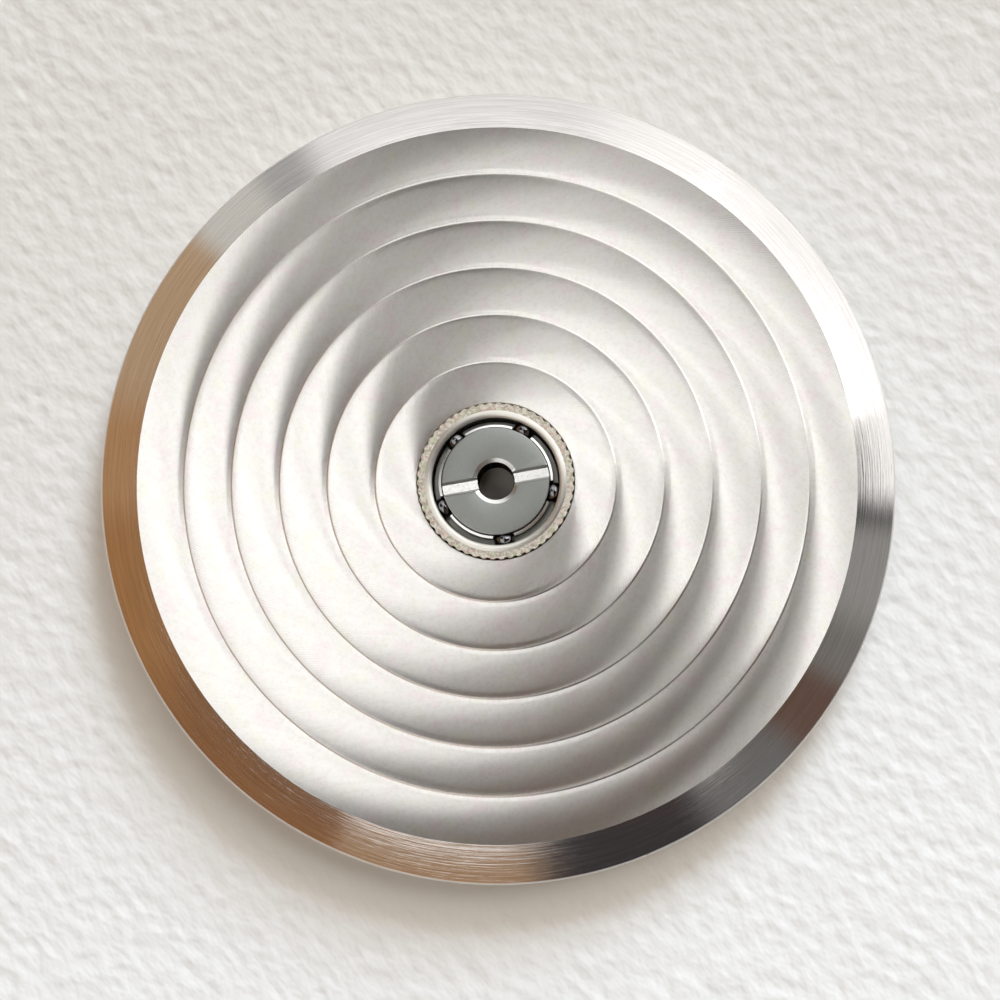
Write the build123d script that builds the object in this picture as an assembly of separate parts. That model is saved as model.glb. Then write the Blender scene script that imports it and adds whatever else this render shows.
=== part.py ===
from build123d import *
import os
from math import cos, radians, sin

# Oscillating weight (rotor) of a self-winding wristwatch, in millimetres.
# The origin is on the axis of rotation, in the plane that the rim's underside rests on.
# +Z points out of the decorated face. The tungsten half ring is centred on -Y.

# Rotor disc
disc_radius = 13.5
rim_height = 1.85           # rest plane to the decorated face
bevel_width = 1.37          # of the polished bevel, seen from above
bevel_drop = 0.75
plate_thickness = 0.55
rim_wall = 1.0              # radial, under the bevel
rim_chamfer = 0.08
stripe_pitch = 1.619        # circular stripes, counted inwards from the bevel
stripe_relief = 0.045
hub_wall = 1.55             # of the boss that the bearing is pressed into
hub_chamfer = 0.25

# Tungsten half ring and its screws, on the underside
segment_width = 3.05
segment_height = 1.08
segment_arc = 180.0
segment_corner = 0.4
segment_clearance = 0.03    # to the rim wall
segment_screws = 3
screw_spread = 124.0        # degrees, first screw to last
boss_radius = 0.62
boss_clearance = 0.02       # round the boss in the half ring
boss_gap = 0.03             # from the boss's end to the screw's head
shank_radius = 0.30
thread_clearance = 0.01
screw_bite = 0.20           # thread length in the plate, above the boss
tap_runout = 0.05           # hole left past the screw's tip
screw_head_radius = 0.95
screw_head_height = 0.32
head_clearance = 0.05       # round the head in its counterbore
head_sunk = 0.03            # head below the half ring's face
screw_slot_width = 0.18
screw_slot_depth = 0.13
screw_edge = 0.05

# Ball bearing, from the tapped hole outwards
thread_radius = 0.62
stem_wall = 0.48            # of the core's stem, round the tapped hole
cone_wall = 0.505           # from the stem to the bottom of the inner raceway
ball_radius = 0.35
ball_play = 0.015           # ball to each raceway face, square to the face
race_wall = 0.10            # behind the outer raceway, to the roots of the teeth
contact_angle = 45.0
ball_count = 5
first_ball_angle = -10.0
race_proud = 0.10           # race above the decorated face
race_chamfer_width = 0.22
race_chamfer_depth = 0.16
race_chamfer_low = 0.06
teeth_lift = 0.15           # teeth above the rest plane
drive_face_width = 0.60     # bare teeth below the hub
tooth_count = 54
tooth_depth = 0.215
notch_depth = 0.05          # of the same notches above the drive face, in the disc's bore
shoulder_share = 0.52       # of the ball's radius, from ball circle to the race's bore
tip_land_share = 0.34       # of the tooth pitch
root_land_share = 0.24

# Ball cage
finger_thickness = 0.12     # radial
finger_rise = 0.30          # above the balls' centres
cage_base_height = 0.16
cage_clearance = 0.04       # to the core, the cone and the race
pocket_play = 0.028         # round each ball

# Core and cone, the two halves of the inner race
core_set_back = 0.05        # core below the race's top face
head_edge_height = 0.144
head_edge_chamfer = 0.03
stem_chamfer = 0.08
seat_lift = 0.10            # core's seat above the rest plane
cone_height = 0.70          # below the balls' centres
cone_chamfer = 0.06
thread_lead_in = 0.08       # chamfer at the seat
mouth_chamfer = 0.13        # chamfer at the decorated end
driver_slot_width = 0.49
driver_slot_depth = 0.14
driver_slot_angle = 10.0

# One overrun for all cuts
overrun = 0.5

# Angles and radii that follow
ball_angles = [first_ball_angle + 360 * i / ball_count for i in range(ball_count)]
groove_reach = ball_radius + ball_play
stem_radius = thread_radius + stem_wall
inner_groove_radius = stem_radius + cone_wall
ball_circle_radius = inner_groove_radius + groove_reach
outer_groove_radius = ball_circle_radius + groove_reach
race_bore_radius = ball_circle_radius + shoulder_share * ball_radius
tooth_root_radius = outer_groove_radius + race_wall
tooth_tip_radius = tooth_root_radius + tooth_depth
cage_inner_radius = ball_circle_radius - finger_thickness
cage_outer_radius = race_bore_radius - cage_clearance
head_radius = cage_inner_radius - cage_clearance
bevel_inner_radius = disc_radius - bevel_width
rim_inner_radius = disc_radius - rim_wall
hub_radius = tooth_tip_radius + hub_wall
segment_outer_radius = rim_inner_radius - segment_clearance
segment_inner_radius = segment_outer_radius - segment_width
screw_circle_radius = (segment_outer_radius + segment_inner_radius) / 2
counterbore_radius = screw_head_radius + head_clearance


def raceway_height(radius):
    """Height of a raceway's face above or below the balls' centres, at a radius."""
    away = abs(radius - ball_circle_radius)
    return (groove_reach - away * cos(radians(contact_angle))) / sin(radians(contact_angle))


# Heights that follow
roof_z = rim_height - plate_thickness
hub_bottom_z = teeth_lift + drive_face_width
race_top_z = rim_height + race_proud
core_top_z = race_top_z - core_set_back
head_cone_height = raceway_height(head_radius)
ball_z = core_top_z - head_edge_height - head_cone_height
pocket_floor_z = ball_z - ball_radius - pocket_play
segment_bottom_z = roof_z - segment_height
screw_head_low_z = segment_bottom_z + head_sunk
screw_head_top_z = screw_head_low_z + screw_head_height
screw_tip_z = roof_z + screw_bite


def lathe(*profile):
    """Solid of revolution from (radius, height) points."""
    outline = Polyline(*[(r, 0, z) for r, z in profile], close=True)
    return revolve(make_face(outline), Axis.Z)


def post(radius, low, high, x=0, y=0):
    """Upright cylinder between two heights."""
    return Pos(x, y, low) * extrude(Circle(radius), high - low)


def polar(radius, degrees):
    return radius * cos(radians(degrees)), radius * sin(radians(degrees))


def screw_places():
    """Axis of each screw of the half ring, spread evenly about -Y."""
    step = screw_spread / (segment_screws - 1)
    for i in range(segment_screws):
        yield polar(screw_circle_radius, -90 - screw_spread / 2 + i * step)


def stripe_profile():
    """Decorated face from the bevel to the bore: each stripe rises outwards and ends in a step."""
    slope = stripe_relief / stripe_pitch
    points = []
    outer = bevel_inner_radius
    while outer > tooth_tip_radius:
        inner = max(outer - stripe_pitch, tooth_tip_radius)
        points.append((outer, rim_height))
        points.append((inner, rim_height - slope * (outer - inner)))
        outer = inner
    return points


def make_rotor_disc():
    disc = lathe(
        (disc_radius, rim_chamfer),
        (disc_radius, rim_height - bevel_drop),
        *stripe_profile(),
        (tooth_tip_radius, hub_bottom_z),
        (hub_radius - hub_chamfer, hub_bottom_z),
        (hub_radius, hub_bottom_z + hub_chamfer),
        (hub_radius, roof_z),
        (rim_inner_radius, roof_z),
        (rim_inner_radius, 0),
        (disc_radius - rim_chamfer, 0),
    )
    boss_low = screw_head_top_z + boss_gap
    for x, y in screw_places():
        disc += post(boss_radius, boss_low, roof_z, x, y)
    for x, y in screw_places():
        hole_top = screw_tip_z + tap_runout
        disc -= post(shank_radius + thread_clearance, boss_low - overrun, hole_top, x, y)
    return disc


def make_heavy_segment():
    corners = [
        polar(radius, -90 + side * segment_arc / 2)
        for radius, side in (
            (segment_inner_radius, 1),
            (segment_inner_radius, -1),
            (segment_outer_radius, -1),
            (segment_outer_radius, 1),
        )
    ]
    outline = [
        ThreePointArc(corners[0], (0, -segment_inner_radius), corners[1]),
        Line(corners[1], corners[2]),
        ThreePointArc(corners[2], (0, -segment_outer_radius), corners[3]),
        Line(corners[3], corners[0]),
    ]
    face = make_face(outline)
    face = fillet(face.vertices(), segment_corner)
    segment = Pos(0, 0, segment_bottom_z) * extrude(face, segment_height)
    for x, y in screw_places():
        hole = boss_radius + boss_clearance
        segment -= post(hole, segment_bottom_z, roof_z + overrun, x, y)
        segment -= post(counterbore_radius, segment_bottom_z - overrun, screw_head_top_z, x, y)
    return segment


def make_segment_screw(x, y):
    """Cheese-head screw, driven from below: its head clamps the half ring."""
    screw = lathe(
        (0, screw_head_low_z),
        (screw_head_radius - screw_edge, screw_head_low_z),
        (screw_head_radius, screw_head_low_z + screw_edge),
        (screw_head_radius, screw_head_top_z),
        (shank_radius, screw_head_top_z),
        (shank_radius, screw_tip_z),
        (0, screw_tip_z),
    )
    slot = Box(2 * screw_head_radius + overrun, screw_slot_width, 2 * screw_slot_depth)
    return Pos(x, y, 0) * (screw - Pos(0, 0, screw_head_low_z) * slot)


def toothed_outline(depth):
    """Tip land, flank, root and flank of every tooth, as one closed wire."""
    root_radius = tooth_tip_radius - depth
    pitch = 360 / tooth_count
    tip = pitch * tip_land_share
    flank = (pitch - tip - pitch * root_land_share) / 2
    edges = []
    for i in range(tooth_count):
        start = i * pitch
        tip_start = polar(tooth_tip_radius, start)
        tip_end = polar(tooth_tip_radius, start + tip)
        root_start = polar(root_radius, start + tip + flank)
        root_end = polar(root_radius, start + pitch - flank)
        next_tip = polar(tooth_tip_radius, start + pitch)
        edges += [
            ThreePointArc(tip_start, polar(tooth_tip_radius, start + tip / 2), tip_end),
            Line(tip_end, root_start),
            Line(root_start, root_end),
            Line(root_end, next_tip),
        ]
    return edges


def make_outer_race():
    """Toothed ring: its upper part is pressed into the disc, its bare teeth drive the winding train."""
    blank = Pos(0, 0, teeth_lift) * extrude(make_face(toothed_outline(tooth_depth)), drive_face_width)
    collar = extrude(make_face(toothed_outline(notch_depth)), race_top_z - hub_bottom_z)
    blank += Pos(0, 0, hub_bottom_z) * collar
    mouth = race_bore_radius + race_chamfer_width
    shoulder = raceway_height(race_bore_radius)
    groove = raceway_height(outer_groove_radius)
    bore = lathe(
        (0, teeth_lift - overrun),
        (race_bore_radius + race_chamfer_low, teeth_lift - overrun),
        (race_bore_radius + race_chamfer_low, teeth_lift),
        (race_bore_radius, teeth_lift + race_chamfer_low),
        (race_bore_radius, ball_z - shoulder),
        (outer_groove_radius, ball_z - groove),
        (outer_groove_radius, ball_z + groove),
        (race_bore_radius, ball_z + shoulder),
        (race_bore_radius, race_top_z - race_chamfer_depth),
        (mouth, race_top_z),
        (mouth, race_top_z + overrun),
        (0, race_top_z + overrun),
    )
    return blank - bore


def make_ball(degrees):
    return Pos(*polar(ball_circle_radius, degrees), ball_z) * Sphere(ball_radius)


def make_ball_cage():
    """Crown cage: a base ring below the balls, with a finger standing between each pair."""
    finger_top = ball_z + finger_rise
    cage = lathe(
        (cage_inner_radius, pocket_floor_z - cage_base_height),
        (cage_outer_radius, pocket_floor_z - cage_base_height),
        (cage_outer_radius, pocket_floor_z),
        (ball_circle_radius, pocket_floor_z),
        (ball_circle_radius, finger_top),
        (cage_inner_radius, finger_top),
    )
    for degrees in ball_angles:
        x, y = polar(ball_circle_radius, degrees)
        cage -= post(ball_radius + pocket_play, pocket_floor_z, finger_top + overrun, x, y)
    return cage


def make_bearing_core():
    """Slotted head, upper half of the inner raceway and the stem that stands on the movement."""
    core = lathe(
        (thread_radius, seat_lift + thread_lead_in),
        (thread_radius + thread_lead_in, seat_lift),
        (stem_radius - stem_chamfer, seat_lift),
        (stem_radius, seat_lift + stem_chamfer),
        (stem_radius, ball_z),
        (inner_groove_radius, ball_z),
        (inner_groove_radius, ball_z + raceway_height(inner_groove_radius)),
        (head_radius, ball_z + head_cone_height),
        (head_radius, core_top_z - head_edge_chamfer),
        (head_radius - head_edge_chamfer, core_top_z),
        (thread_radius + mouth_chamfer, core_top_z),
        (thread_radius, core_top_z - mouth_chamfer),
    )
    slot = Box(2 * head_radius + overrun, driver_slot_width, 2 * driver_slot_depth)
    return core - Pos(0, 0, core_top_z) * Rot(0, 0, driver_slot_angle) * slot


def make_lower_cone():
    """Lower half of the inner raceway, pressed on the stem up to the core's shoulder."""
    bottom = ball_z - cone_height
    return lathe(
        (stem_radius, bottom),
        (head_radius - cone_chamfer, bottom),
        (head_radius, bottom + cone_chamfer),
        (head_radius, ball_z - head_cone_height),
        (inner_groove_radius, ball_z - raceway_height(inner_groove_radius)),
        (inner_groove_radius, ball_z),
        (stem_radius, ball_z),
    )


def write(name, solid):
    solid.label = name
    export_step(solid, f"parts/{name}.step")


os.makedirs("parts", exist_ok=True)
write("rotor_disc", make_rotor_disc())
write("heavy_segment", make_heavy_segment())
for i, (x, y) in enumerate(screw_places()):
    write(f"segment_screw_{i + 1}", make_segment_screw(x, y))
write("outer_race", make_outer_race())
write("ball_cage", make_ball_cage())
for i, degrees in enumerate(ball_angles):
    write(f"ball_{i + 1}", make_ball(degrees))
write("bearing_core", make_bearing_core())
write("lower_cone", make_lower_cone())
print(f"balls' centres at z {ball_z:.4f}, tooth tips at radius {tooth_tip_radius:.4f}")
print(f"core head radius {head_radius:.4f}, race bore radius {race_bore_radius:.4f}")
print(f"half ring from radius {segment_inner_radius:.4f} to {segment_outer_radius:.4f}")
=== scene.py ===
import math

import bpy
import numpy as np
from mathutils import Matrix, Vector


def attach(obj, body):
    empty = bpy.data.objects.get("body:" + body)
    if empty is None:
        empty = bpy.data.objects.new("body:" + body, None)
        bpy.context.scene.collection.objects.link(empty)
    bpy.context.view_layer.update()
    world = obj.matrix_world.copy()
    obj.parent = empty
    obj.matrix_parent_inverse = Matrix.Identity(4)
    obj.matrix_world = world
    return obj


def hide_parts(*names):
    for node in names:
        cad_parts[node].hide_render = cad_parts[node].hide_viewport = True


# Automatic watch rotor: finished meshes, metals, floor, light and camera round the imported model.
# Lengths in this script are millimetres until a mesh is made. Azimuths turn from +X to +Y.

MM = 0.001

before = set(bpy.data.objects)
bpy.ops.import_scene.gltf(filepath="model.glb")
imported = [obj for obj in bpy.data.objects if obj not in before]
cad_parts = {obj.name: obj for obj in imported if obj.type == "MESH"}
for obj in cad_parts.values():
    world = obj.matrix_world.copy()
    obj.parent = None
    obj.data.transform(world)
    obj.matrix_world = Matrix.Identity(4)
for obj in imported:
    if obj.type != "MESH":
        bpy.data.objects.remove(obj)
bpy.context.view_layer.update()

# Smooth shading breaks at edges above these angles, in degrees
CREASE = 25
DISC_CREASE = 12

# Points on the axis of a turned piece stand this far from it
AXIS_RADIUS = 0.0004

# Disc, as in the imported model
DISC_RADIUS = 13.5
FACE_HEIGHT = 1.85
BEVEL_INNER = 12.13
BEVEL_LOW = 1.10
RIM_ROUNDING = 0.15
RIM_INNER = 12.5
RIM_CHAMFER = 0.03
ROOF = 1.30
ROOF_FILLET = 0.06
HUB_RADIUS = 4.2
HUB_BOTTOM = 0.75
HUB_CHAMFER = 0.25
BORE_RADIUS = 2.65

# Stripes: each falls inwards by the relief, steeper in its last part, and a short step leads up to
# the next one
STRIPE_PITCH = 1.619
STRIPE_RELIEF = 0.045
STRIPE_SHARES = (0.02, 0.15, 0.35, 0.55, 0.72, 0.86, 0.90, 0.93, 0.96, 0.98, 1.0)
SLOPE_PART = 0.7
FILLET_START = 0.86
FILLET_CURVE = 1.6
STEP_WIDTH = 0.062

# Scratches in the stripes: cosine of the angle between gloss axis and radius, from a stripe's outer
# edge inwards, and the spacing of the finest ones
LEAN_START = 0.60
LEAN_GAIN = 0.45
LEAN_MOST = 0.9995
SCRATCH_PITCH = 0.1

# Narrow groove in the face, round the race
GAP_WIDTH = 0.045
GAP_DEPTH = 0.25

# Half ring and its screws
HALF_RING_INNER = 9.42
HALF_RING_OUTER = 12.47
HALF_RING_LOW = 0.22
HALF_RING_CORNER = 0.4
HALF_RING_CHAMFER = 0.06
SCREW_CIRCLE = 10.945
SCREW_AZIMUTHS = (-152, -90, -28)
COUNTERBORE_RADIUS = 1.0
SCREW_HOLE_RADIUS = 0.64
SCREW_HEAD_RADIUS = 0.95
SCREW_HEAD_ROUNDING = 0.05
SCREW_HEAD_LOW = 0.25
SCREW_HEAD_TOP = 0.57
SCREW_SHANK_RADIUS = 0.30
SCREW_END = 1.50
SCREW_END_CHAMFER = 0.04

# Bearing
TOOTH_COUNT = 54
TOOTH_ROOT = 2.435
NOTCH_FLOOR = 2.60
RACE_TOP = 1.95
RACE_LOW = 0.15
RACE_BORE = 2.152
OUTER_RACEWAY = 2.335
BALL_RADIUS = 0.35
BALL_CIRCLE = 1.97
BALL_HEIGHT = 1.3998
BALL_AZIMUTHS = [-10 + 72 * i for i in range(5)]
CAGE_INNER = 1.835
CAGE_OUTER = 2.112
CAGE_LOW = 0.862
CAGE_RING_TOP = 1.022
CAGE_CHAMFER = 0.01
CAGE_WINDOW = 0.378
FINGER_OUTER = 1.94
CORE_TOP = 1.90
CORE_SEAT = 0.10
CORE_RADIUS = 1.81
INNER_RACEWAY = 1.605
STEM_RADIUS = 1.10
SLOT_AZIMUTH = 10
THREAD_PITCH = 0.25
THREAD_WALL = 0.65
THREAD_RIDGE = 0.045


def polar(radius, degrees):
    angle = math.radians(degrees)
    return radius * math.cos(angle), radius * math.sin(angle)


def arc_points(cx, cz, radius, start, end, count):
    """Points of a rounding in a profile: centre, radius, and first and last angle in degrees."""
    angles = np.radians(np.linspace(start, end, count))
    return [(cx + radius * math.cos(a), cz + radius * math.sin(a)) for a in angles]


def make_object(name, points, faces, materials=(), face_materials=None, crease=CREASE):
    """Mesh from millimetre points, smooth except where its faces meet at more than the crease angle."""
    mesh = bpy.data.meshes.new(name)
    mesh.from_pydata([tuple(p) for p in np.asarray(points) * MM], [], faces)
    for material in materials:
        mesh.materials.append(material)
    if face_materials is not None:
        mesh.polygons.foreach_set("material_index", face_materials)
    mesh.validate()
    mesh.shade_smooth()
    mesh.set_sharp_from_angle(angle=math.radians(crease))
    made = bpy.data.objects.new(name, mesh)
    bpy.context.scene.collection.objects.link(made)
    return made


def loft(rings, closed=True, caps=False):
    """Quads between rings of equal length. Closed joins the last ring to the first."""
    count = len(rings[0])
    faces = []
    last = len(rings) if closed else len(rings) - 1
    for i in range(last):
        here = i * count
        there = (i + 1) % len(rings) * count
        for j in range(count):
            k = (j + 1) % count
            faces.append((here + j, here + k, there + k, there + j))
    if caps:
        faces.append(tuple(range(count))[::-1])
        faces.append(tuple(range((len(rings) - 1) * count, len(rings) * count)))
    return np.concatenate(rings), faces


def ring(radius, height, count):
    """One ring of points; the radius may be a list with a value for each point."""
    angles = np.linspace(0, 2 * math.pi, count, endpoint=False)
    radius = np.broadcast_to(radius, count)
    height = np.broadcast_to(height, count)
    return np.stack([radius * np.cos(angles), radius * np.sin(angles), height], 1)


def lathe(name, profile, count, materials=(), bands=None, crease=CREASE):
    """Turned piece from a closed profile of (radius, height) that runs anticlockwise in the (r, z) plane.
    Bands names the material of each profile segment."""
    points, faces = loft([ring(r, z, count) for r, z in profile])
    picks = None if bands is None else np.repeat(bands, count)
    return make_object(name, points, faces, materials, picks, crease)


def cut(piece, *cutters):
    """Subtracts the cutters from the piece for good, and removes them."""
    for cutter in cutters:
        modifier = piece.modifiers.new("cut", "BOOLEAN")
        modifier.operation = "DIFFERENCE"
        modifier.solver = "EXACT"
        modifier.object = cutter
    graph = bpy.context.evaluated_depsgraph_get()
    mesh = bpy.data.meshes.new_from_object(piece.evaluated_get(graph))
    piece.modifiers.clear()
    old = piece.data
    piece.data = mesh
    bpy.data.meshes.remove(old)
    mesh.name = piece.name
    for cutter in cutters:
        bpy.data.objects.remove(cutter)
    mesh.shade_smooth()
    mesh.set_sharp_from_angle(angle=math.radians(CREASE))
    return piece


def prism(section, length, degrees, height):
    """Cutter along a level line through the axis, with a section of (across, up) points."""
    along = Vector((*polar(1, degrees), 0))
    across = Vector((*polar(1, degrees + 90), 0))
    rings = []
    for end in (-length / 2, length / 2):
        corners = [along * end + across * a + Vector((0, 0, height + u)) for a, u in section]
        rings.append(np.array(corners))
    points, faces = loft(rings, closed=False, caps=True)
    return make_object("cutter", points, faces)


def post(radius, low, high, x, y, count=96):
    """Upright cylindrical cutter."""
    rings = [ring(radius, low, count) + (x, y, 0), ring(radius, high, count) + (x, y, 0)]
    points, faces = loft(rings, closed=False, caps=True)
    return make_object("cutter", points, faces)


def place(piece, body, slot, *nodes):
    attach(piece, body)
    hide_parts(*nodes)
    return piece


class Nodes:
    """A node tree, with short calls for its maths."""

    def __init__(self, tree):
        self.tree = tree

    def feed(self, socket, value):
        if isinstance(value, bpy.types.NodeSocket):
            self.tree.links.new(value, socket)
        else:
            socket.default_value = value

    def node(self, kind, *values, **settings):
        made = self.tree.nodes.new(kind)
        for key, value in settings.items():
            setattr(made, key, value)
        for socket, value in zip(made.inputs, values):
            if value is not None:
                self.feed(socket, value)
        return made

    def math(self, operation, *values):
        return self.node("ShaderNodeMath", *values, operation=operation).outputs[0]

    def vector(self, x, y, z):
        return self.node("ShaderNodeCombineXYZ", x, y, z).outputs[0]

    def scaled(self, x, y, scale, z):
        """Vector whose first two parts are scaled."""
        return self.vector(self.math("MULTIPLY", x, scale), self.math("MULTIPLY", y, scale), z)

    def split(self, vector):
        return self.node("ShaderNodeSeparateXYZ", vector).outputs[:3]

    def length(self, x, y):
        squares = (self.math("MULTIPLY", x, x), self.math("MULTIPLY", y, y))
        return self.math("SQRT", self.math("ADD", *squares))

    def noise(self, vector, scale, detail=2.0, roughness=0.5):
        made = self.node("ShaderNodeTexNoise", vector)
        made.inputs["Scale"].default_value = scale
        made.inputs["Detail"].default_value = detail
        made.inputs["Roughness"].default_value = roughness
        return made.outputs[0]

    def spread(self, value, low, high, to_low, to_high, smooth=False):
        """Maps a value's range to another one, held at both ends."""
        kind = "SMOOTHSTEP" if smooth else "LINEAR"
        values = (value, low, high, to_low, to_high)
        return self.node("ShaderNodeMapRange", *values, interpolation_type=kind).outputs[0]

    def blend(self, factor, a, b):
        made = self.node("ShaderNodeMix", data_type="RGBA")
        for name, value in (("Factor", factor), ("A", a), ("B", b)):
            sockets = [s for s in made.inputs if s.name == name and s.enabled]
            self.feed(sockets[0], value)
        return [s for s in made.outputs if s.enabled][0]


class Finish(Nodes):
    """A new material, metal unless set otherwise."""

    def __init__(self, name):
        self.material = bpy.data.materials.new(name)
        self.material.use_nodes = True
        super().__init__(self.material.node_tree)
        self.shader = self.tree.nodes["Principled BSDF"]
        self.set("Metallic", 1.0)

    def set(self, name, value):
        self.feed(self.shader.inputs[name], value)

    def place(self):
        """Object coordinates in millimetres."""
        coordinates = self.node("ShaderNodeTexCoord").outputs["Object"]
        factors = (1 / MM, 1 / MM, 1 / MM)
        return self.node("ShaderNodeVectorMath", coordinates, factors, operation="MULTIPLY").outputs[0]

    def bump(self, height, strength, distance):
        """Normal from a height from 0 to 1; distance is its full height in millimetres."""
        made = self.node("ShaderNodeBump")
        made.inputs["Strength"].default_value = strength
        made.inputs["Distance"].default_value = distance * MM
        self.feed(made.inputs["Height"], height)
        self.set("Normal", made.outputs[0])

    def grain_along(self, x, y):
        """Gives the gloss its long axis: it is wide along this level direction, across the scratches."""
        turned = self.node("ShaderNodeVectorTransform", self.vector(x, y, 0.0))
        turned.vector_type = "VECTOR"
        turned.convert_from = "OBJECT"
        turned.convert_to = "WORLD"
        self.set("Tangent", turned.outputs[0])


def rgb(r, g, b):
    return (r, g, b, 1.0)


def striped_finish():
    """Circular stripes: in each one, arc-shaped scratches run from its outer edge until they touch its
    inner one."""
    f = Finish("striped_plating")
    where = f.place()
    x, y = f.split(where)[:2]
    radius = f.length(x, y)
    azimuth = f.math("ARCTAN2", y, x)
    count = f.math("DIVIDE", f.math("SUBTRACT", BEVEL_INNER, radius), STRIPE_PITCH)
    stripe = f.math("FLOOR", count)
    share = f.math("SUBTRACT", count, stripe)

    lean = f.math("MINIMUM", f.math("MULTIPLY_ADD", share, LEAN_GAIN, LEAN_START), LEAN_MOST)
    rest = f.math("SQRT", f.math("SUBTRACT", 1.0, f.math("MULTIPLY", lean, lean)))
    tx = f.math("SUBTRACT", f.math("MULTIPLY", lean, x), f.math("MULTIPLY", rest, y))
    ty = f.math("ADD", f.math("MULTIPLY", lean, y), f.math("MULTIPLY", rest, x))
    f.grain_along(f.math("DIVIDE", tx, radius), f.math("DIVIDE", ty, radius))

    # All points of one scratch have the same label, an azimuth
    middle = f.math("MULTIPLY_ADD", stripe, -STRIPE_PITCH, BEVEL_INNER - STRIPE_PITCH / 2)
    ahead = f.math("DIVIDE", f.math("MULTIPLY", rest, STRIPE_PITCH / LEAN_GAIN), middle)
    label = f.math("ADD", azimuth, ahead)
    around_x = f.math("MULTIPLY", f.math("COSINE", label), middle)
    around_y = f.math("MULTIPLY", f.math("SINE", label), middle)
    # The large step keeps each stripe's pattern apart from its neighbours'
    along = f.math("MULTIPLY_ADD", stripe, 7.7, f.math("MULTIPLY", share, 0.9))

    fine = f.noise(f.scaled(around_x, around_y, 16.0, along), 1.0, 3.0, 0.6)
    broad = f.noise(f.scaled(around_x, around_y, 1.6, along), 1.0, 2.0)
    painted_iridescence = f.noise(f.scaled(x, y, 1.3, along), 1.0, 3.0, 0.6)
    grain = f.noise(where, 9.0, 2.0, 0.6)
    turns = f.math("MULTIPLY", f.math("MULTIPLY", label, middle), 2 * math.pi / SCRATCH_PITCH)
    groove = f.math("MULTIPLY_ADD", f.math("SINE", turns), 0.5, 0.5)
    groove = f.math("MULTIPLY", groove, f.spread(share, 0.04, 0.4, 1.0, 0.0))

    pale = rgb(0.975, 0.96, 0.94)
    cream = rgb(0.94, 0.922, 0.90)
    rosy = rgb(0.97, 0.85, 0.87)
    greenish = rgb(0.93, 0.94, 0.82)
    body = f.blend(f.spread(broad, 0.3, 0.7, 0.0, 1.0), cream, pale)
    # Rosy and greenish flecks: painted iridescence, the colour that light splits off the fine scratches
    body = f.blend(f.spread(painted_iridescence, 0.52, 0.68, 0.0, 0.5), body, rosy)
    body = f.blend(f.spread(painted_iridescence, 0.48, 0.32, 0.0, 0.5), body, greenish)
    body = f.blend(f.spread(fine, 0.5, 0.25, 0.0, 0.14), body, rgb(0.62, 0.57, 0.52))
    # Darker along the grooves near each stripe's outer edge: painted shade in the grooves
    body = f.blend(f.math("MULTIPLY", groove, 0.11), body, rgb(0.5, 0.46, 0.42))
    body = f.blend(f.spread(grain, 0.45, 0.75, 0.0, 0.14), body, rgb(0.45, 0.41, 0.37))
    f.set("Base Color", body)
    f.set("Roughness", f.spread(fine, 0.2, 0.8, 0.29, 0.33))
    f.set("Anisotropic", 1.0)
    f.bump(f.math("MULTIPLY_ADD", groove, 0.8, fine), 1.0, 0.003)
    return f.material


def streaked_finish(name, colour, roughness, streak, depth, length, slant=1, strength=0.3, dark=None):
    """Turned or polished round the axis: fine streaks run along the circles.
    Streak is how many there are to the millimetre, and length is how long they are on the rim.
    Slant is -1 where the surface falls outwards."""
    f = Finish(name)
    x, y, z = f.split(f.place())
    radius = f.length(x, y)
    out_x = f.math("DIVIDE", x, radius)
    out_y = f.math("DIVIDE", y, radius)
    f.grain_along(out_x, out_y)
    across = f.math("MULTIPLY", f.math("MULTIPLY_ADD", z, slant, radius), streak)
    fine = f.noise(f.scaled(out_x, out_y, DISC_RADIUS / length, across), 1.0, 3.0, 0.6)
    low = dark or [c * 0.93 for c in colour]
    f.set("Base Color", f.blend(f.spread(fine, 0.25, 0.75, 0.0, 1.0), rgb(*low), rgb(*colour)))
    f.set("Roughness", f.spread(fine, 0.25, 0.75, roughness * 0.8, roughness * 1.25))
    f.set("Anisotropic", 0.8)
    f.bump(fine, strength, depth)
    return f.material


def grained_finish(name, colour, dark, roughness, scale, depth):
    """Even metal with a fine grain."""
    f = Finish(name)
    where = f.place()
    fine = f.noise(where, scale, 4.0, 0.65)
    broad = f.noise(where, scale / 9, 2.0)
    f.set("Base Color", f.blend(f.spread(broad, 0.3, 0.7, 0.0, 1.0), rgb(*dark), rgb(*colour)))
    f.set("Roughness", f.spread(fine, 0.25, 0.75, roughness * 0.85, roughness * 1.2))
    f.bump(fine, 0.3, depth)
    return f.material


def mottled_finish(name, colour, dark, roughness, scale, depth):
    """Metal with small cloudy patches, some of them slightly rosy or greenish, as hardened steel has."""
    f = Finish(name)
    where = f.place()
    clouds = f.spread(f.noise(where, scale, 3.0, 0.7), 0.38, 0.62, 0.0, 1.0, True)
    body = f.blend(clouds, rgb(*dark), rgb(*colour))
    hue = f.noise(where, scale * 0.6, 2.0)
    body = f.blend(f.spread(hue, 0.52, 0.66, 0.0, 0.5), body, rgb(0.86, 0.60, 0.54))
    body = f.blend(f.spread(hue, 0.48, 0.34, 0.0, 0.5), body, rgb(0.64, 0.72, 0.46))
    f.set("Base Color", body)
    f.set("Roughness", f.spread(clouds, 0.0, 1.0, roughness * 1.15, roughness * 0.85))
    f.bump(clouds, 0.4, depth)
    return f.material


# Height of a polished metal's grain
SMOOTH = 0.0001

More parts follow.
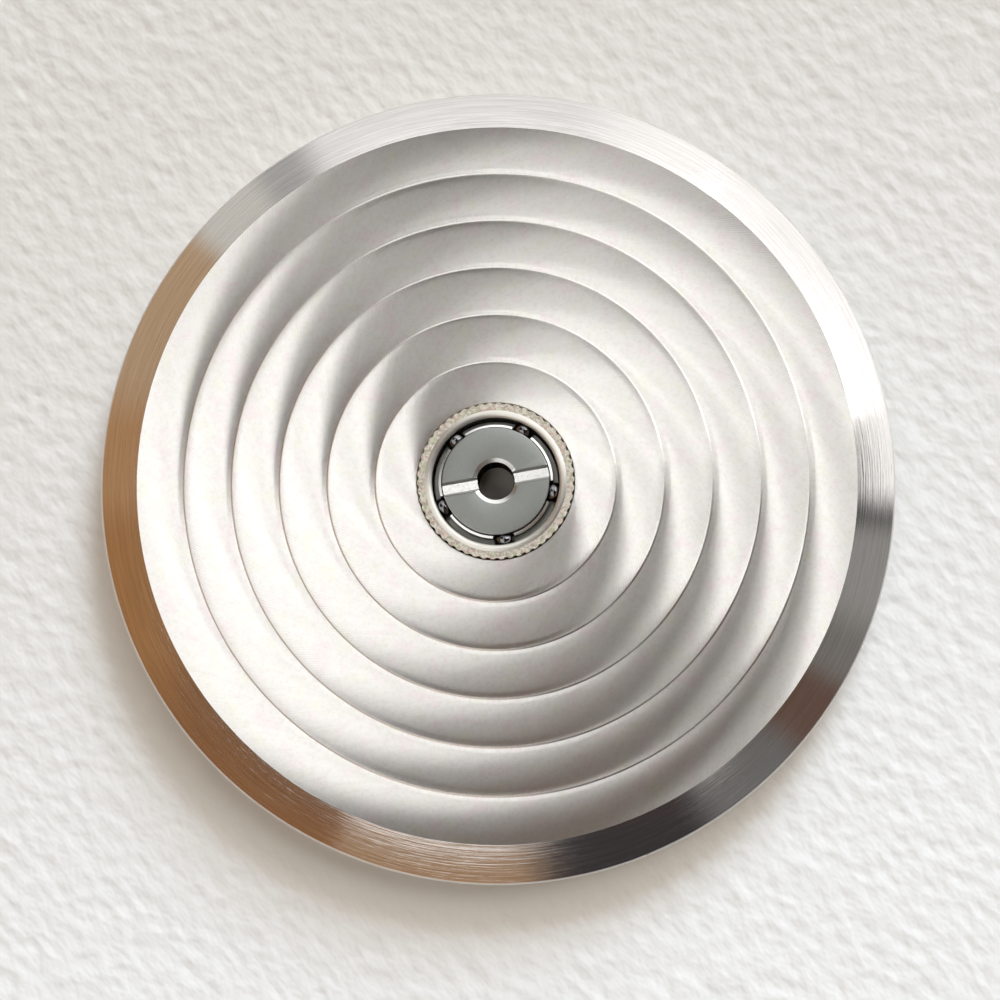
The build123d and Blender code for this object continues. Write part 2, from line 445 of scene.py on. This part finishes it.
plating_stripes = striped_finish()
plating_bevel = streaked_finish("bevel_plating", (0.93, 0.92, 0.91), 0.105, 13.0, 0.007, 2.4, -1, 0.8,
                                (0.75, 0.71, 0.69))
plating_turned = streaked_finish("turned_plating", (0.90, 0.885, 0.86), 0.33, 14.0, 0.01, 1.2)
tungsten = grained_finish("sintered_tungsten", (0.36, 0.355, 0.36), (0.29, 0.285, 0.29), 0.42, 22.0, 0.008)
race_steel = mottled_finish("race_steel_satin", (0.90, 0.86, 0.78), (0.54, 0.49, 0.41), 0.46, 9.0, 0.02)
race_bright = streaked_finish("race_steel_bright", (0.95, 0.93, 0.87), 0.42, 30.0, 0.003, 1.2)
# The cage is one steel: a lit copy for its crest, painted light, and a dark copy for the rest, painted
# shade
cage_painted_light = grained_finish("cage_steel_painted_light", (0.95, 0.95, 0.94), (0.9, 0.9, 0.89), 0.3, 12.0, SMOOTH)
cage_painted_shade = grained_finish("cage_steel_painted_shade", (0.34, 0.34, 0.31), (0.28, 0.28, 0.26), 0.34, 12.0, SMOOTH)
# Ball steel much darker than steel: painted shade, so the balls show little besides their glints
ball_painted_shade = grained_finish("ball_steel_polished_painted_shade", (0.23, 0.23, 0.24), (0.2, 0.2, 0.21), 0.08, 6.0, SMOOTH)
core_metal = grained_finish("core_steel_flat", (0.39, 0.41, 0.39), (0.37, 0.39, 0.375), 0.5, 9.0, 0.0012)
core_turned = streaked_finish("core_steel_turned", (0.40, 0.40, 0.39), 0.3, 26.0, 0.003, 0.9)
# Slot floor steel: rougher, which is real, and far lighter than the core steel, which is painted light
core_milled_painted_light = grained_finish("core_steel_milled_painted_light", (0.98, 0.98, 0.96), (0.96, 0.96, 0.94), 0.25, 9.0, SMOOTH)
# Nearly black copy of the core steel for the tapped hole: painted shade
core_bore_painted_shade = streaked_finish("core_steel_bore_painted_shade", (0.02, 0.018, 0.016), 0.35, 26.0, 0.003, 0.9)
# Hole chamfer steel, lighter than the core steel: painted highlight
core_chamfer_painted_light = grained_finish("core_steel_chamfer_painted_light", (0.74, 0.74, 0.72), (0.66, 0.66, 0.65), 0.3, 9.0, SMOOTH)
# Raceway steel far darker than the race's top: painted shade down in the bore
race_raceway_painted_shade = streaked_finish("race_steel_ground_painted_shade", (0.30, 0.29, 0.27), 0.3, 26.0, 0.002, 0.9)
screw_metal = streaked_finish("screw_steel_polished", (0.70, 0.71, 0.72), 0.18, 20.0, 0.002, 0.9)


def disc_profile():
    """Section of the disc with its small edge roundings, and the material of each part of it."""
    face = []
    outer = BEVEL_INNER
    while outer > BORE_RADIUS:
        inner = max(outer - STRIPE_PITCH, BORE_RADIUS)
        foot = inner + STEP_WIDTH if inner > BORE_RADIUS else inner
        span = outer - foot
        for share in STRIPE_SHARES:
            fillet = max(share - FILLET_START, 0.0) / (1 - FILLET_START)
            drop = STRIPE_RELIEF * (SLOPE_PART * share + (1 - SLOPE_PART) * fillet**FILLET_CURVE)
            face.append((outer - span * share, FACE_HEIGHT - drop))
        if inner > BORE_RADIUS:
            face.append((inner + 0.006, FACE_HEIGHT - 0.004))
        outer = inner

    low_edge = [(DISC_RADIUS - 0.08, 0.0), (DISC_RADIUS - 0.012, 0.06), (DISC_RADIUS, 0.09)]
    rounding = arc_points(DISC_RADIUS - RIM_ROUNDING, BEVEL_LOW - 0.065, RIM_ROUNDING, -8, 60, 9)
    top_edge = [(BEVEL_INNER + 0.012, FACE_HEIGHT - 0.006), (BEVEL_INNER - 0.004, FACE_HEIGHT)]
    # A ring close above the rounding keeps its smooth shading from spreading over the bevel
    near = tuple(a + 0.03 * (b - a) for a, b in zip(rounding[-1], top_edge[0]))
    outside = low_edge + rounding + [near]

    gap = BORE_RADIUS + GAP_WIDTH
    inner_face = FACE_HEIGHT - STRIPE_RELIEF
    face[-1] = (gap + 0.004, inner_face)
    inside = [
        (gap, inner_face - 0.01),
        (gap, FACE_HEIGHT - GAP_DEPTH),
        (BORE_RADIUS, FACE_HEIGHT - GAP_DEPTH - 0.03),
        (BORE_RADIUS, HUB_BOTTOM),
        (HUB_RADIUS - HUB_CHAMFER, HUB_BOTTOM),
        (HUB_RADIUS, HUB_BOTTOM + HUB_CHAMFER),
        (HUB_RADIUS, ROOF - ROOF_FILLET),
        (HUB_RADIUS + ROOF_FILLET, ROOF),
        (RIM_INNER - ROOF_FILLET, ROOF),
        (RIM_INNER, ROOF - ROOF_FILLET),
        (RIM_INNER, RIM_CHAMFER),
        (RIM_INNER + RIM_CHAMFER, 0.0),
    ]
    profile = inside + outside + top_edge + face
    stripes, bevel, turned = 0, 1, 2
    bands = [turned] * (len(inside) + len(outside) - 2) + [bevel] * 3 + [stripes] * len(face) + [turned]
    return profile, bands


profile, bands = disc_profile()
plating = (plating_stripes, plating_bevel, plating_turned)
disc = lathe("disc", profile, 720, plating, bands, DISC_CREASE)
place(disc, "rotor", "plated_brass", "rotor_disc")


def half_ring():
    """Tungsten half ring with rounded corners, chamfered lower edges, and counterbores for its screws."""
    first_corner = np.linspace(0, 2.6, 14)
    middle = np.linspace(3.6, 176.4, 120)
    last_corner = np.linspace(177.4, 180, 14)
    levels = (
        (HALF_RING_CHAMFER, HALF_RING_LOW),
        (0.0, HALF_RING_LOW + HALF_RING_CHAMFER),
        (0.0, ROOF),
    )
    corner = HALF_RING_CORNER
    rings = []
    for degrees in np.concatenate([first_corner, middle, last_corner]):
        radians = math.radians(min(degrees, 180 - degrees))
        section = []
        for inset, height in levels:
            spans = []
            for radius, side in ((HALF_RING_INNER, 1), (HALF_RING_OUTER, -1)):
                away = min(max(radius * radians - inset, 0.0), corner)
                drop = corner - math.sqrt(max(corner**2 - (corner - away) ** 2, 0.0))
                spans.append(radius + side * (drop + inset))
            section.append((spans, height))
        low, wall, top = section
        outline = [(low[0][0], low[1]), (low[0][1], low[1]), (wall[0][1], wall[1]), (top[0][1], top[1])]
        outline += [(top[0][0], top[1]), (wall[0][0], wall[1])]
        x, y = polar(1, -180 + degrees)
        rings.append(np.array([(r * x, r * y, z) for r, z in outline]))
    points, faces = loft(rings, closed=False, caps=True)
    made = make_object("half_ring", points, faces, (tungsten,))
    cutters = []
    for degrees in SCREW_AZIMUTHS:
        x, y = polar(SCREW_CIRCLE, degrees)
        cutters.append(post(COUNTERBORE_RADIUS, 0.0, SCREW_HEAD_TOP, x, y))
        cutters.append(post(SCREW_HOLE_RADIUS, 0.0, 2.0, x, y))
    return cut(made, *cutters)


place(half_ring(), "rotor", "tungsten_alloy", "heavy_segment")


def segment_screw(number, degrees):
    """Cheese-head screw seen from below: domed edge, slot, and a shank up into the plate."""
    low = SCREW_HEAD_LOW
    flat = SCREW_HEAD_RADIUS - SCREW_HEAD_ROUNDING
    neck = SCREW_END - SCREW_END_CHAMFER
    profile = [(AXIS_RADIUS, SCREW_END), (AXIS_RADIUS, low), (flat, low)]
    profile += arc_points(flat, low + SCREW_HEAD_ROUNDING, SCREW_HEAD_ROUNDING, -90, 0, 5)[1:]
    profile += [(SCREW_HEAD_RADIUS, SCREW_HEAD_TOP), (SCREW_SHANK_RADIUS, SCREW_HEAD_TOP)]
    profile += [(SCREW_SHANK_RADIUS, neck), (SCREW_SHANK_RADIUS - SCREW_END_CHAMFER, SCREW_END)]
    made = lathe(f"half_ring_screw_{number}", profile, 96, (screw_metal,))
    slot = [(-0.09, 0.13), (-0.09, 0.015), (-0.12, -0.1), (0.12, -0.1), (0.09, 0.015), (0.09, 0.13)]
    slot_azimuth = 20 + 65 * number
    cut(made, prism(slot, 3.0, slot_azimuth, low))
    x, y = polar(SCREW_CIRCLE, degrees)
    made.data.transform(Matrix.Translation((x * MM, y * MM, 0)))
    return made


for number, degrees in enumerate(SCREW_AZIMUTHS, 1):
    place(segment_screw(number, degrees), "rotor", "screw_steel", f"segment_screw_{number}")


def toothed_radius(count, tip, root):
    """Radius of the toothed edge at each point of a ring."""
    share = np.linspace(0, TOOTH_COUNT, count, endpoint=False) % 1
    tip_end = 0.34
    root_start = tip_end + 0.21
    root_end = 0.79
    rise = np.interp(share, [0, tip_end, root_start, root_end, 1.0], [1, 1, 0, 0, 1])
    soft = rise * rise * (3 - 2 * rise)
    return root + (tip - root) * (0.5 * rise + 0.5 * soft)


def outer_race():
    """Toothed ring with the outer raceway in its bore. The teeth are shallow in the hub, and full below
    it."""
    count = TOOTH_COUNT * 20
    teeth = toothed_radius(count, BORE_RADIUS, TOOTH_ROOT)
    teeth_low = toothed_radius(count, BORE_RADIUS - 0.02, TOOTH_ROOT - 0.01)
    notches = toothed_radius(count, BORE_RADIUS, NOTCH_FLOOR)
    notches_top = toothed_radius(count, BORE_RADIUS - 0.015, NOTCH_FLOOR - 0.01)
    outline = [
        (2.212, RACE_LOW),
        (teeth_low, RACE_LOW),
        (teeth, RACE_LOW + 0.02),
        (teeth, HUB_BOTTOM - 0.02),
        (notches, HUB_BOTTOM + 0.01),
        (notches, RACE_TOP - 0.045),
        (notches_top, RACE_TOP - 0.025),
    ]
    mouth = [(2.40, RACE_TOP - 0.028), (2.375, RACE_TOP - 0.026)]
    mouth += arc_points(2.275, 1.66, 0.29, 68, 90, 5) + arc_points(2.275, 1.83, 0.12, 90, 168, 8)
    bore = [
        (2.1525, 1.79),
        (RACE_BORE, 1.742),
        (OUTER_RACEWAY, 1.559),
        (OUTER_RACEWAY, 1.241),
        (RACE_BORE, 1.058),
        (RACE_BORE, 0.21),
    ]
    points, faces = loft([ring(r, z, count) for r, z in outline + mouth + bore])
    satin, bright, ground = 0, 1, 2
    bands = [satin] * (len(outline) + 1) + [bright] * (len(mouth) - 1)
    # The bore's raceway takes the darker copy of the steel: painted shade
    bands += [ground] * (len(bore) - 1) + [satin]
    metals = (race_steel, race_bright, race_raceway_painted_shade)
    return make_object("toothed_race", points, faces, metals, np.repeat(bands, count))


place(outer_race(), "rotor", "race_steel", "outer_race")


def ball(number, degrees):
    """Polished ball, from a cube that is divided and rounded out so that it has no poles."""
    steps = 14
    grid = np.tan(np.linspace(-math.pi / 4, math.pi / 4, steps + 1))
    points = []
    faces = []
    for axis in range(3):
        for side in (-1, 1):
            base = len(points)
            for a in grid:
                for b in grid:
                    p = np.zeros(3)
                    p[axis] = side
                    p[(axis + 1) % 3] = a * side
                    p[(axis + 2) % 3] = b
                    points.append(p / np.linalg.norm(p))
            for i in range(steps):
                for j in range(steps):
                    a = base + i * (steps + 1) + j
                    faces.append((a, a + steps + 1, a + steps + 2, a + 1))
    points, index = np.unique(np.round(points, 7), axis=0, return_inverse=True)
    faces = [tuple(int(index[i]) for i in face) for face in faces]
    centre = np.array([*polar(BALL_CIRCLE, degrees), BALL_HEIGHT])
    return make_object(f"bearing_ball_{number}", points * BALL_RADIUS + centre, faces, (ball_painted_shade,))


for number, degrees in enumerate(BALL_AZIMUTHS, 1):
    place(ball(number, degrees), "ball_" + "abcde"[number - 1], "ball_steel", f"ball_{number}")


def crown_cage():
    """Ring below the balls, with a round-topped finger between each pair."""
    foot = CAGE_LOW + CAGE_CHAMFER
    profile = [
        (CAGE_INNER, foot),
        (CAGE_INNER + CAGE_CHAMFER, CAGE_LOW),
        (CAGE_OUTER - CAGE_CHAMFER, CAGE_LOW),
        (CAGE_OUTER, foot),
        (CAGE_OUTER, CAGE_RING_TOP - CAGE_CHAMFER),
        (CAGE_OUTER - CAGE_CHAMFER, CAGE_RING_TOP),
        (FINGER_OUTER + 0.005, CAGE_RING_TOP),
        (FINGER_OUTER, CAGE_RING_TOP + 0.005),
        (FINGER_OUTER, 1.655),
    ]
    crest = arc_points(FINGER_OUTER - 0.015, 1.665, 0.015, 0, 72, 5)
    crest += arc_points(CAGE_INNER + 0.018, 1.684, 0.018, 78, 180, 8)
    # The crest takes the light copy of the steel (painted light), the rest the dark copy (painted shade)
    painted_shade_band, bright = 0, 1
    bands = [painted_shade_band] * (len(profile) - 1) + [bright] * len(crest) + [painted_shade_band]
    made = lathe("crown_cage", profile + crest, 360, (cage_painted_shade, cage_painted_light), bands)
    windows = []
    for degrees in BALL_AZIMUTHS:
        x, y = polar(BALL_CIRCLE, degrees)
        windows.append(post(CAGE_WINDOW, CAGE_RING_TOP, 2.2, x, y))
    return cut(made, *windows)


place(crown_cage(), "cage", "cage_steel", "ball_cage")


def threaded_wall(low, high, count):
    """Rings of the tapped hole, top to bottom, with the thread's ridge winding down it."""
    flank = 0.38
    run_out = 0.05
    lip = 0.03
    turn = np.linspace(0, 1, count, endpoint=False)
    rings = []
    for height in np.arange(high, low, -THREAD_PITCH / 10):
        wave = (height / THREAD_PITCH - turn) % 1
        ridge = np.clip(1 - np.abs(wave - 0.5) / flank, 0, 1)
        fade = min((high - height) / run_out, (height - low) / run_out, 1)
        radius = THREAD_WALL - THREAD_RIDGE * ridge * fade - lip * (1 - fade)
        rings.append(ring(radius, height, count))
    return rings


def slotted_core():
    """Slotted head with the upper inner raceway, the stem and the tapped hole."""
    count = 192
    outline = [
        (0.70, CORE_SEAT),
        (1.0, CORE_SEAT),
        (STEM_RADIUS - 0.02, 0.18),
        (STEM_RADIUS, 0.20),
        (STEM_RADIUS, BALL_HEIGHT),
        (INNER_RACEWAY, BALL_HEIGHT),
        (INNER_RACEWAY, 1.551),
        (CORE_RADIUS, 1.756),
        (CORE_RADIUS, 1.874),
        (CORE_RADIUS - 0.007, 1.893),
        (CORE_RADIUS - 0.026, CORE_TOP),
        (0.772, CORE_TOP),
        (0.764, 1.897),
        (0.64, 1.845),
    ]
    rings = [ring(r, z, count) for r, z in outline]
    # The tapped hole takes the nearly black copy of the steel: painted shade
    rings += threaded_wall(0.19, 1.79, count)
    points, faces = loft(rings)
    flat, turned, milled, bore, edge = range(5)
    # The hole's chamfer takes the lighter copy of the steel: painted highlight
    bands = [turned] * (len(outline) - 4) + [flat] + [edge] * 2 + [bore] * (len(rings) - len(outline) + 1)
    metals = (core_metal, core_turned, core_milled_painted_light, core_bore_painted_shade, core_chamfer_painted_light)
    made = make_object("slotted_core", points, faces, metals, np.repeat(bands, count))
    slot = [(-0.15, -0.14), (0.15, -0.14), (0.235, -0.01), (0.285, 0.04), (-0.285, 0.04), (-0.235, -0.01)]
    cut(made, prism(slot, 5.0, SLOT_AZIMUTH, CORE_TOP))
    across = Vector((*polar(1, SLOT_AZIMUTH + 90), 0))
    # The slot's floor and walls, outside the hole and below the flat top, have metals of their own; the
    # floor's is the lighter copy of the steel, painted light
    for face in made.data.polygons:
        centre = face.center / MM
        beside = abs(centre.dot(across))
        if beside < 0.28 and 1.7 < centre.z < CORE_TOP - 0.002 and centre.xy.length > 0.7:
            face.material_index = milled if face.normal.z > 0.9 else turned
    return made


place(slotted_core(), "core", "core_steel", "bearing_core")


def race_cone():
    """Lower half of the inner raceway, pressed on the stem."""
    profile = [
        (STEM_RADIUS, 0.70),
        (1.75, 0.70),
        (1.79, 0.715),
        (CORE_RADIUS, 0.76),
        (CORE_RADIUS, 1.044),
        (INNER_RACEWAY, 1.249),
        (INNER_RACEWAY, BALL_HEIGHT),
        (STEM_RADIUS, BALL_HEIGHT),
    ]
    return lathe("race_cone", profile, 192, (core_turned,))


place(race_cone(), "core", "core_steel", "lower_cone")


def pale_floor():
    """Pale sheet with a faint leather grain under the part; its colour is darker and browner to the
    north-west, a painted falloff of the light.
    """
    size = 900.0
    points = [(-size, -size, 0), (size, -size, 0), (size, size, 0), (-size, size, 0)]
    f = Finish("pale_sheet")
    f.set("Metallic", 0.0)
    f.set("Roughness", 0.62)
    x, y = f.split(f.place())[:2]
    along = f.math("SUBTRACT", f.math("MULTIPLY", x, 0.85), f.math("MULTIPLY", y, 1.02))
    across = f.math("ADD", f.math("MULTIPLY", x, 1.4), f.math("MULTIPLY", y, 1.15))
    stretched = f.vector(along, across, 0.0)
    wrinkles = f.noise(stretched, 1.0, 2.0, 0.45)
    cells = f.node("ShaderNodeTexVoronoi", stretched, feature="SMOOTH_F1")
    cells.inputs["Scale"].default_value = 1.1
    cells.inputs["Smoothness"].default_value = 0.6
    height = f.math("ADD", f.math("MULTIPLY", cells.outputs[0], 0.6), wrinkles)
    # Painted light: the base colour darkens and browns towards the north-west, a falloff of light across
    # the sheet; under the bluish lamp its warm tint also browns the part's shadow
    painted_light_falloff = f.math("MULTIPLY_ADD", x, 0.45, f.math("MULTIPLY", y, -1.5))
    share = f.spread(painted_light_falloff, -24.0, 24.0, 0.0, 1.0)
    f.set("Base Color", f.blend(share, rgb(0.67, 0.615, 0.535), rgb(0.81, 0.775, 0.705)))
    f.bump(height, 1.0, 0.06)
    floor = make_object("floor", points, [(0, 1, 2, 3)], (f.material,))


pale_floor()


# Screens of the surroundings that the metal mirrors: the reach of each in degrees, in the order that
# screen() takes, and the light that it adds
SCREENS = (
    ((3, 75, 6, 14, 57, 90, 8, 10), (1.12, 1.11, 1.09)),
    ((75, 118, 14, 6, 57, 90, 8, 10), (0.85, 0.84, 0.83)),
    ((118, 126, 6, 4, 52, 90, 8, 10), (0.39, 0.385, 0.38)),
    ((126, 137, 4, 4, 52, 90, 8, 10), (0.58, 0.565, 0.52)),
    ((137, 162, 4, 10, 52, 90, 8, 10), (0.44, 0.30, 0.18)),
    ((162, 178, 10, 8, 52, 90, 8, 10), (0.40, 0.215, 0.095)),
    ((178, 205, 8, 16, 52, 90, 8, 10), (0.325, 0.15, 0.045)),
    ((205, 242, 16, 4, 52, 90, 8, 10), (0.235, 0.10, 0.03)),
    ((242, 275, 4, 9, 52, 90, 8, 10), (0.34, 0.20, 0.10)),
    ((275, 304, 9, 6, 45, 90, 16, 10), (0.025, 0.02, 0.022)),
    ((304, 322, 6, 6, 45, 90, 16, 10), (0.14, 0.138, 0.135)),
    ((322, 334, 5, 5, 45, 90, 16, 10), (0.11, 0.062, 0.045)),
    ((334, 344, 5, 8, 45, 90, 16, 10), (0.17, 0.16, 0.15)),
    ((344, 360, 8, 6, 45, 90, 16, 10), (0.27, 0.268, 0.255)),
    ((18.5, 117, 16, 18, 22, 57, 10, 8), (1.57, 1.555, 1.53)),
    ((17.5, 31, 1.5, 27, 22, 57, 10, 8), (2.35, 2.33, 2.30)),
    ((59.2, 60.8, 1.3, 1.3, 22, 57, 10, 8), (6.0, 5.95, 5.9)),
    ((168, 242, 4, 4, 6.5, 45, 10, 6), (1.23, 1.215, 1.19)),
    ((242, 273, 4, 18, 6.5, 50.5, 10, 6), (1.36, 1.345, 1.32)),
    ((305, 313, 3, 5, 38, 48, 6, 6), (0.45, 0.45, 0.44)),
    ((138, 167, 10, 4, 8, 52, 10, 8), (0.015, 0.008, 0.0)),
    ((290, 340, 20, 20, 8, 45, 10, 8), (0.085, 0.03, 0.0)),
)


# Small bright lamp among the screens, the dark between them, and the plain wall that the camera sees
# instead of them all
GLINT_AZIMUTH = 112.5
GLINT_DOWN = 9.2
GLINT_REACH = 5.2
GLINT_LIGHT = (4.7, 4.66, 4.6)
DARK_ROOM = (0.02, 0.0195, 0.019)
WALL_COLOUR = (0.80, 0.77, 0.73)


def sky_direction(azimuth, down):
    """Unit vector from an azimuth and an angle from straight up, in degrees."""
    angle = math.radians(down)
    return Vector((*polar(math.sin(angle), azimuth), math.cos(angle)))


def studio_world():
    """Soft surroundings by direction: large pale screens to the north-east and south-west, a warm wall
    low in the west, and a dark room to the south-east. Angles are degrees from +X and from straight up."""
    world = bpy.data.worlds.new("studio")
    bpy.context.scene.world = world
    world.use_nodes = True
    f = Nodes(world.node_tree)
    direction = f.node("ShaderNodeTexCoord").outputs["Generated"]
    x, y, z = f.split(direction)
    azimuth = f.math("MULTIPLY", f.math("ARCTAN2", y, x), 180 / math.pi)
    down = f.math("MULTIPLY", f.math("ARCCOSINE", z), 180 / math.pi)

    def rising(value, edge, width):
        return f.spread(value, edge - width / 2, edge + width / 2, 0.0, 1.0, True)

    def falling(value, edge, width):
        return f.spread(value, edge - width / 2, edge + width / 2, 1.0, 0.0, True)

    def screen(start, end, soft_start, soft_end, high, low, soft_high, soft_low):
        """Mask that is 1 from start to end azimuth and from high to low, with soft borders of those
        widths."""
        middle = (start + end) / 2
        half = (end - start) / 2
        away = f.math("WRAP", f.math("SUBTRACT", azimuth, middle), 180.0, -180.0)
        level = f.math("MULTIPLY", rising(away, -half, soft_start), falling(away, half, soft_end))
        upright = f.math("MULTIPLY", rising(down, high, soft_high), falling(down, low, soft_low))
        return f.math("MULTIPLY", level, upright)

    def add(mask, light, colour):
        values = (mask, light, colour)
        return f.node("ShaderNodeVectorMath", *values, operation="MULTIPLY_ADD").outputs[0]

    colour = DARK_ROOM
    for reach, light in SCREENS:
        colour = add(screen(*reach), light, colour)
    glint = tuple(sky_direction(GLINT_AZIMUTH, GLINT_DOWN))
    near = f.node("ShaderNodeVectorMath", direction, glint, operation="DOT_PRODUCT").outputs["Value"]
    glow = f.spread(near, math.cos(math.radians(GLINT_REACH)), 1.0, 0.0, 1.0)
    colour = add(glow, GLINT_LIGHT, colour)
    seen = f.node("ShaderNodeLightPath").outputs["Is Camera Ray"]
    background = f.tree.nodes["Background"]
    f.feed(background.inputs["Color"], f.blend(seen, colour, rgb(*WALL_COLOUR)))
    background.inputs["Strength"].default_value = 1.0


studio_world()


LAMP_AZIMUTH = 70
LAMP_DOWN = 66


def add_lamp():
    """Broad lamp, softly edged, that throws the part's shadow to the south-south-west. The metal doesn't
    mirror it."""
    data = bpy.data.lights.new("soft_lamp", "SUN")
    data.energy = 3.35
    data.angle = math.radians(24)
    data.color = (0.82, 1.0, 1.28)
    lamp = bpy.data.objects.new("soft_lamp", data)
    bpy.context.scene.collection.objects.link(lamp)
    lamp.rotation_euler = sky_direction(LAMP_AZIMUTH, LAMP_DOWN).to_track_quat("Z", "Y").to_euler()
    lamp.visible_glossy = False


add_lamp()


def add_camera():
    """Long lens straight above, tilted about five degrees towards -Y as in the photograph."""
    data = bpy.data.cameras.new("camera")
    data.lens = 80
    data.sensor_width = 36
    data.clip_start = 0.001
    camera = bpy.data.objects.new("camera", data)
    bpy.context.scene.collection.objects.link(camera)
    distance = 74.66 * MM
    aim = Vector((0.146, -0.642, FACE_HEIGHT)) * MM
    tilt_south = math.radians(5.17)
    tilt_east = math.radians(1.6)
    back = Vector((math.sin(tilt_east), -math.sin(tilt_south), 0))
    back.z = math.sqrt(1 - back.x**2 - back.y**2)
    right = Vector((0, 1, 0)).cross(back).normalized()
    up = back.cross(right)
    turn = Matrix((right, up, back)).transposed().to_4x4()
    camera.matrix_world = Matrix.Translation(aim + back * distance) @ turn
    bpy.context.scene.camera = camera


add_camera()
bpy.context.scene.view_settings.view_transform = "Standard"
